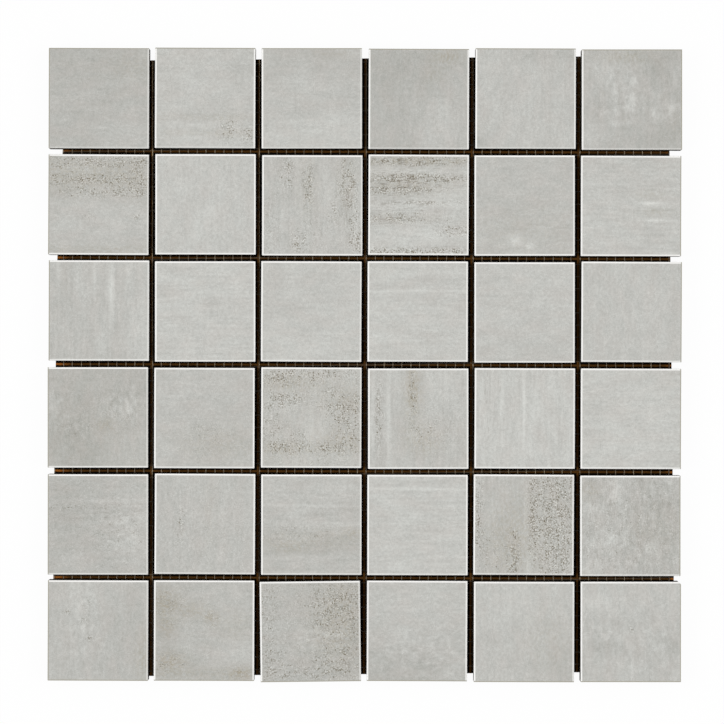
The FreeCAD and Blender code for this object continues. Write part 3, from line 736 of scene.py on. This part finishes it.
def printed_porcelain():
    """Matt printed porcelain: light grey, finely grained, with streaks, haze and specks.

    The slab map gives each point its place on the slab in millimetres, streaks along V. The
    real grain and specks are too fine to show, so they are drawn half a millimetre and more
    across.
    """
    material, tree = new_material("printed_matt_porcelain")
    slab = add(tree, "ShaderNodeUVMap", uv_map="slab").outputs["UV"]
    masks = {
        kind: add(tree, "ShaderNodeAttribute", attribute_name=kind).outputs["Fac"]
        for kind in (
            "specks", "scratches", "stain", "haze", "pale", "streaks", "shade", "rim", "outer",
        )
    }

    def print_layer(size, stretch, detail, noise, strength, mask=1.0, under=0.0):
        """A layer of cloudy print on what is under it: under + mask * strength.

        Its clouds are the size in millimetres across the streaks and stretch times as long
        along them. As their noise goes from the first of its two values to the second, the
        strength goes evenly from its own first to its second, and it goes no further.
        """
        stretched = add(tree, "ShaderNodeMapping", {
            "Vector": slab, "Scale": (1.0, 1 / stretch, 1.0),
        })
        clouds = add(tree, "ShaderNodeTexNoise", {
            "Vector": stretched.outputs["Vector"], "Scale": 1 / size, "Detail": detail,
        })
        printed = add(tree, "ShaderNodeMapRange", {
            "Value": clouds.outputs["Fac"], "From Min": noise[0], "From Max": noise[1],
            "To Min": strength[0], "To Max": strength[1],
        })
        return add(tree, "ShaderNodeMath", {
            0: printed.outputs["Result"], 1: mask, 2: under,
        }, operation="MULTIPLY_ADD").outputs[0]

    # The tone: the tile's shade, five sizes of grain and cloud all over, and then the streaks,
    # the two grains bared by wear, the haze and the pale places, each where its mask says
    worn = print_layer(2.2, 2.0, 3.0, (0.28, 0.64), (0.0, 1.0), masks["specks"])
    tone = masks["shade"]
    for size, stretch, detail, noise, strength, mask in (
        (0.5, 1.0, 2.0, (0.0, 1.0), (-0.27, 0.27), 1.0),
        (1.2, 1.4, 2.0, (0.0, 1.0), (-0.21, 0.21), 1.0),
        (3.0, 2.0, 2.0, (0.0, 1.0), (-0.125, 0.125), 1.0),
        (8.0, 1.5, 2.0, (0.0, 1.0), (-0.085, 0.085), 1.0),
        (30.0, 1.5, 2.0, (0.0, 1.0), (-0.07, 0.07), 1.0),
        (1.6, 14.0, 2.0, (0.0, 1.0), (-0.5, 0.5), masks["streaks"]),
        (0.5, 1.2, 1.0, (0.0, 1.0), (-1.3, 1.3), worn),
        (1.1, 1.8, 2.0, (0.0, 1.0), (-0.87, 0.83), worn),
        (2.6, 1.5, 5.0, (0.42, 0.68), (-0.09, 0.21), masks["haze"]),
        (0.8, 6.0, 2.0, (0.0, 1.0), (0.18, 0.38), masks["pale"]),
    ):
        tone = print_layer(size, stretch, detail, noise, strength, mask, tone)
    # Tone 0 is the second of the ramp's five greys, 0.5 the third and 1 the fourth
    on_ramp = add(tree, "ShaderNodeMath", {0: tone, 1: 0.5, 2: 0.25}, operation="MULTIPLY_ADD")
    grey = add(tree, "ShaderNodeValToRGB", {"Fac": on_ramp.outputs[0]})
    ramp = grey.color_ramp
    ramp.elements[0].color = linear("#6B675E")
    ramp.elements[1].color = linear("#FFFFFD")
    for position, hex_colour in ((0.25, "#989890"), (0.5, "#C1C1BC"), (0.75, "#E7E9E4")):
        ramp.elements.new(position).color = linear(hex_colour)

    # Blots of ink, which spread a little and come through more strongly with the wear
    spread = add(tree, "ShaderNodeMath", {0: worn, 1: 0.07}, operation="MULTIPLY")
    blots = print_layer(0.6, 1.2, 0.0, (0.0, 1.0), (0.0, 1.0), under=spread.outputs[0])
    blotted = add(tree, "ShaderNodeMapRange", {
        "Value": blots, "From Min": 0.57, "From Max": 0.69,
    })
    bared = add(tree, "ShaderNodeMapRange", {
        "Value": worn, "From Min": 0.1, "From Max": 0.6, "To Max": 0.5,
    })
    ink = add(tree, "ShaderNodeMath", {
        0: blotted.outputs["Result"], 1: bared.outputs["Result"],
    }, operation="MULTIPLY")

    # Dots of ink, one to a cell, in a share of the cells that grows with the wear
    dot_cell = 0.8
    cells = add(tree, "ShaderNodeTexVoronoi", {"Vector": slab, "Scale": 1 / dot_cell})
    chance = add(tree, "ShaderNodeSeparateColor", {"Color": cells.outputs["Color"]})
    dotted_share = add(tree, "ShaderNodeMath", {
        0: worn, 1: 0.95, 2: -0.17,
    }, operation="MULTIPLY_ADD")
    margin = add(tree, "ShaderNodeMath", {
        0: dotted_share.outputs[0], 1: chance.outputs["Red"],
    }, operation="SUBTRACT")
    dotted = add(tree, "ShaderNodeMapRange", {
        "Value": margin.outputs[0], "From Min": 0.0, "From Max": 0.15,
    })
    disc = add(tree, "ShaderNodeMapRange", {
        "Value": cells.outputs["Distance"], "From Min": 0.5, "From Max": 0.28, "To Max": 0.8,
    })
    dot = add(tree, "ShaderNodeMath", {
        0: disc.outputs["Result"], 1: dotted.outputs["Result"],
    }, operation="MULTIPLY")

    # The colours over the grey, from the first printed to the painted highlight along the ground
    # edge and the painted shade along the sheet's own edge
    warmth = print_layer(6.0, 2.0, 3.0, (0.4, 0.7), (0.0, 0.14))
    stain = print_layer(1.1, 1.8, 3.0, (0.36, 0.66), (0.0, 0.45), masks["stain"])
    fleck = print_layer(0.7, 1.4, 1.0, (0.58, 0.68), (0.0, 0.7), worn)
    scratch = print_layer(0.55, 8.0, 1.0, (0.54, 0.66), (0.0, 0.7), masks["scratches"])
    colour = grey.outputs["Color"]
    for share, hex_colour in (
        (warmth, "#C2B1A8"), (stain, "#A0967F"), (ink.outputs[0], "#695C42"),
        (dot.outputs[0], "#665A40"), (fleck, "#F2F1EC"), (scratch, "#6E6455"),
        (masks["rim"], "#FFFEFB"), (masks["outer"], "#ABA798"),
    ):
        colour = add(tree, "ShaderNodeMix", {
            "Factor": share, MIX_A: colour, MIX_B: linear(hex_colour),
        }, data_type="RGBA").outputs[MIX_OUT]

    grain = print_layer(0.5, 1.0, 2.0, (0.0, 1.0), (0.0, 1.0))
    relief = print_layer(1.6, 14.0, 2.0, (0.0, 1.0), (0.0, 0.5), under=grain)
    bump = add(tree, "ShaderNodeBump", {"Height": relief, "Strength": 0.25, "Distance": 0.05 * MM})
    shader = add(tree, "ShaderNodeBsdfPrincipled", {
        "Base Color": colour, "Roughness": 0.62, "Normal": bump.outputs["Normal"],
    })
    add(tree, "ShaderNodeOutputMaterial", {"Surface": shader.outputs["BSDF"]})
    return material


def sawn_porcelain():
    """The tile's sawn body: rough, and made dark olive brown and darker toward the foot by painted
    shade.

    The darkening is painted shade of the deep, narrow joints. The body's real grit is too fine
    to show, so it is drawn over half a millimetre across.
    """
    material, tree = new_material("sawn_porcelain_body")
    grit = 0.6 * MM
    darkest_height = 1.0 * MM
    lightest_height = 8.0 * MM
    place = add(tree, "ShaderNodeTexCoord").outputs["Object"]
    grains = add(tree, "ShaderNodeTexNoise", {"Vector": place, "Scale": 1 / grit, "Detail": 2.0})
    height = add(tree, "ShaderNodeSeparateXYZ", {"Vector": place}).outputs["Z"]
    wall_rise = add(tree, "ShaderNodeMapRange", {
        "Value": height, "From Min": darkest_height, "From Max": lightest_height,
    }).outputs["Result"]
    # Painted shade: near black at the wall's foot, dark olive brown higher up
    body = add(tree, "ShaderNodeValToRGB", {"Fac": wall_rise})
    body.color_ramp.elements[0].color = linear("#0D0904")
    body.color_ramp.elements[1].color = linear("#3C3424")
    grainy = add(tree, "ShaderNodeMix", {
        "Factor": 0.15, MIX_A: body.outputs["Color"], MIX_B: grains.outputs["Color"],
    }, data_type="RGBA", blend_type="OVERLAY").outputs[MIX_OUT]
    bump = add(tree, "ShaderNodeBump", {
        "Height": grains.outputs["Fac"], "Strength": 0.5, "Distance": 0.08 * MM,
    })
    shader = add(tree, "ShaderNodeBsdfPrincipled", {
        "Base Color": grainy, "Roughness": 0.85, "Specular IOR Level": 0.1,
        "Normal": bump.outputs["Normal"],
    })
    add(tree, "ShaderNodeOutputMaterial", {"Surface": shader.outputs["BSDF"]})
    return material


def lay_tile(tile, face_material, body_material):
    """Builds a tile in its own frame, turns it as it was laid and puts it on the scrim.

    The half side follows from the box of the turned tile: box half = half * (cos + sin of the
    turn) - ease * sin of the turn. A point turned by t goes from (x, y) to
    (x cos t - y sin t, x sin t + y cos t).
    """
    row, column = tile
    node = f"tile_row{row}_col{column}"
    low, high = (np.array(corner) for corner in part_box(node))
    laid_phase = LAYING_PHASE_STEPS[0] * row + LAYING_PHASE_STEPS[1] * column
    laid_turn_deg = math.sin(laid_phase) * LAYING_TURN_DEG
    turn = math.radians(CROOKED_TURN_DEG if tile == CROOKED else laid_turn_deg)
    reach = (high[0] - low[0]) / 2
    sine, cosine = abs(math.sin(turn)), math.cos(turn)
    half = (reach + CORNER_EASE * sine) / (cosine + sine)
    own, quads, caps, is_face = tile_mesh(tile, half, high[2] - low[2])
    across, up = (-own[:, 1], own[:, 0]) if tile in ALONG_X else (own[:, 0], own[:, 1])
    turned_x = across * math.cos(turn) - up * math.sin(turn)
    turned_y = across * math.sin(turn) + up * math.cos(turn)
    middle = (low + high) / 2
    vertices = np.stack([turned_x + middle[0], turned_y + middle[1], own[:, 2] + low[2]], axis=1)
    piece = new_piece(node + "_finished", vertices, quads, caps)
    mesh = piece.data
    mesh.materials.append(face_material)
    mesh.materials.append(body_material)
    material_index = np.concatenate([np.where(is_face, 0, 1), [1] * len(caps)])
    mesh.polygons.foreach_set("material_index", material_index.astype(np.int32))
    # Painted highlight along the inner ground edges, and painted shade along the sheet's own edge
    rim, outer = np.zeros(len(own)), np.zeros(len(own))
    for outward, at_sheet_edge, brightness in (
        (across, column == COLUMNS, RIGHT_HIGHLIGHT[column - 1]), (-across, column == 1, 1.0),
        (up, row == 1, 1.0), (-up, row == ROWS, LOWER_HIGHLIGHT[row - 1]),
    ):
        width = OUTER_RIM_WIDTH if at_sheet_edge else RIM_WIDTH
        band = np.clip((width + RIM_FADE / 2 - (half - outward)) / RIM_FADE, 0, 1)
        # At the sheet's own edge the band is a painted shade, a darker grey line along the outer
        # bevel
        if at_sheet_edge:
            outer = np.maximum(outer, band)
        else:
            rim = np.maximum(rim, band * brightness)
    shade = next((shade for shade, tiles in SHADES if tile in tiles), MIDDLE_SHADE)
    values = marks_on(tile, across / half, up / half)
    streaks = STRONG_STREAKS if tile in STREAKY else STREAKS
    values.update(shade=np.full(len(own), shade), streaks=np.full(len(own), streaks))
    values.update(rim=rim, outer=outer)
    for kind, value in values.items():
        layer = mesh.attributes.new(kind, "FLOAT", "POINT")
        layer.data.foreach_set("value", value.astype(np.float32))
    corner_vertex = np.zeros(len(mesh.loops), np.int32)
    mesh.loops.foreach_get("vertex_index", corner_vertex)
    slab_row = row + ROWS_FURTHER_ON * (tile in ALONG_X)
    slab_place = own[:, :2] / MM + SLAB_STEP * np.array([column, slab_row])
    slab = mesh.uv_layers.new(name="slab")
    slab.data.foreach_set("uv", slab_place[corner_vertex].astype(np.float32).ravel())
    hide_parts(node)
    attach(piece, "root")


face_finish = printed_porcelain()
body_finish = sawn_porcelain()
for row in range(1, ROWS + 1):
    for column in range(1, COLUMNS + 1):
        lay_tile((row, column), face_finish, body_finish)


# Floor, lamps and camera
# The sheet lies on a white table between two soft lamps, one at each end of its rows, so the
# light runs along the level joints and stops short in the upright ones.
PLAIN_WHITE_SHARE = 0.96


def white_table():
    """Matt white that shows to the camera as plain white, with a trace of the sheet's shadow."""
    material, tree = new_material("white_table")
    path = add(tree, "ShaderNodeLightPath")
    seen = add(tree, "ShaderNodeMath", {
        0: path.outputs["Is Camera Ray"], 1: path.outputs["Is Glossy Ray"],
    }, operation="MAXIMUM")
    seen = add(tree, "ShaderNodeMath", {
        0: seen.outputs[0], 1: path.outputs["Is Transmission Ray"],
    }, operation="MAXIMUM")
    share = add(tree, "ShaderNodeMath", {
        0: seen.outputs[0], 1: PLAIN_WHITE_SHARE,
    }, operation="MULTIPLY")
    matt = add(tree, "ShaderNodeBsdfDiffuse", {"Color": linear("#FAFAFA")})
    glow = add(tree, "ShaderNodeEmission", {"Color": (1.0, 1.0, 1.0, 1.0), "Strength": 1.0})
    mixed = add(tree, "ShaderNodeMixShader", {
        0: share.outputs[0], 1: matt.outputs["BSDF"], 2: glow.outputs["Emission"],
    })
    add(tree, "ShaderNodeOutputMaterial", {"Surface": mixed.outputs["Shader"]})
    return material


TABLE_HALF = 6.0
TABLE_GAP = 0.05 * MM
edge = np.array([-TABLE_HALF, TABLE_HALF])
table_x, table_y = np.meshgrid(edge, edge)
table_z = np.full(4, cad_box[0][2] - TABLE_GAP)
table = new_piece("table", np.stack([table_x.ravel(), table_y.ravel(), table_z], axis=1),
                  grid_faces(2, 2))
table.data.materials.append(white_table())

WORLD_LIGHT = 0.5
world = bpy.data.worlds.new("studio")
bpy.context.scene.world = world
world.use_nodes = True
world.node_tree.nodes["Background"].inputs["Color"].default_value = (1.0, 1.0, 1.0, 1.0)
world.node_tree.nodes["Background"].inputs["Strength"].default_value = WORLD_LIGHT

LAMP_DISTANCE = 1.7
LAMP_HEIGHT_DEG = 45.0
LAMP_WIDTH = 0.8
LAMP_LENGTH = 1.0
LAMP_WATTS = 9.7
for side in (-1, 1):
    lamp = bpy.data.lights.new(f"soft_lamp_{side}", "AREA")
    lamp.shape = "RECTANGLE"
    lamp.size = LAMP_WIDTH
    lamp.size_y = LAMP_LENGTH
    lamp.energy = LAMP_WATTS
    lamp_object = bpy.data.objects.new(lamp.name, lamp)
    bpy.context.scene.collection.objects.link(lamp_object)
    tilt = math.radians(LAMP_HEIGHT_DEG)
    beside = side * LAMP_DISTANCE * math.cos(tilt)
    lamp_object.location = (beside, 0.0, LAMP_DISTANCE * math.sin(tilt))
    lamp_object.rotation_euler = (0.0, side * (math.pi / 2 - tilt), 0.0)

# The picture's side, its scale at the tiles' faces, and where in it the sheet's middle lies,
# in pixels from its upper left corner
FRAME_PIXELS = 724
PIXELS_PER_MM = 2.131
SHEET_PIXEL = (364.7, 364.9)
CAMERA_HEIGHT = 1.75
CAMERA_ROLL_DEG = 0.15
frame_width = FRAME_PIXELS / PIXELS_PER_MM * MM
camera_data = bpy.data.cameras.new("camera")
camera_data.angle = 2 * math.atan(frame_width / 2 / CAMERA_HEIGHT)
camera = bpy.data.objects.new("camera", camera_data)
bpy.context.scene.collection.objects.link(camera)
off_x, off_y = (pixel - FRAME_PIXELS / 2 for pixel in SHEET_PIXEL)
camera.location = (
    -off_x / PIXELS_PER_MM * MM, off_y / PIXELS_PER_MM * MM, cad_box[1][2] + CAMERA_HEIGHT,
)
camera.rotation_euler = (0.0, 0.0, math.radians(CAMERA_ROLL_DEG))
bpy.context.scene.camera = camera
bpy.context.scene.view_settings.view_transform = "Standard"
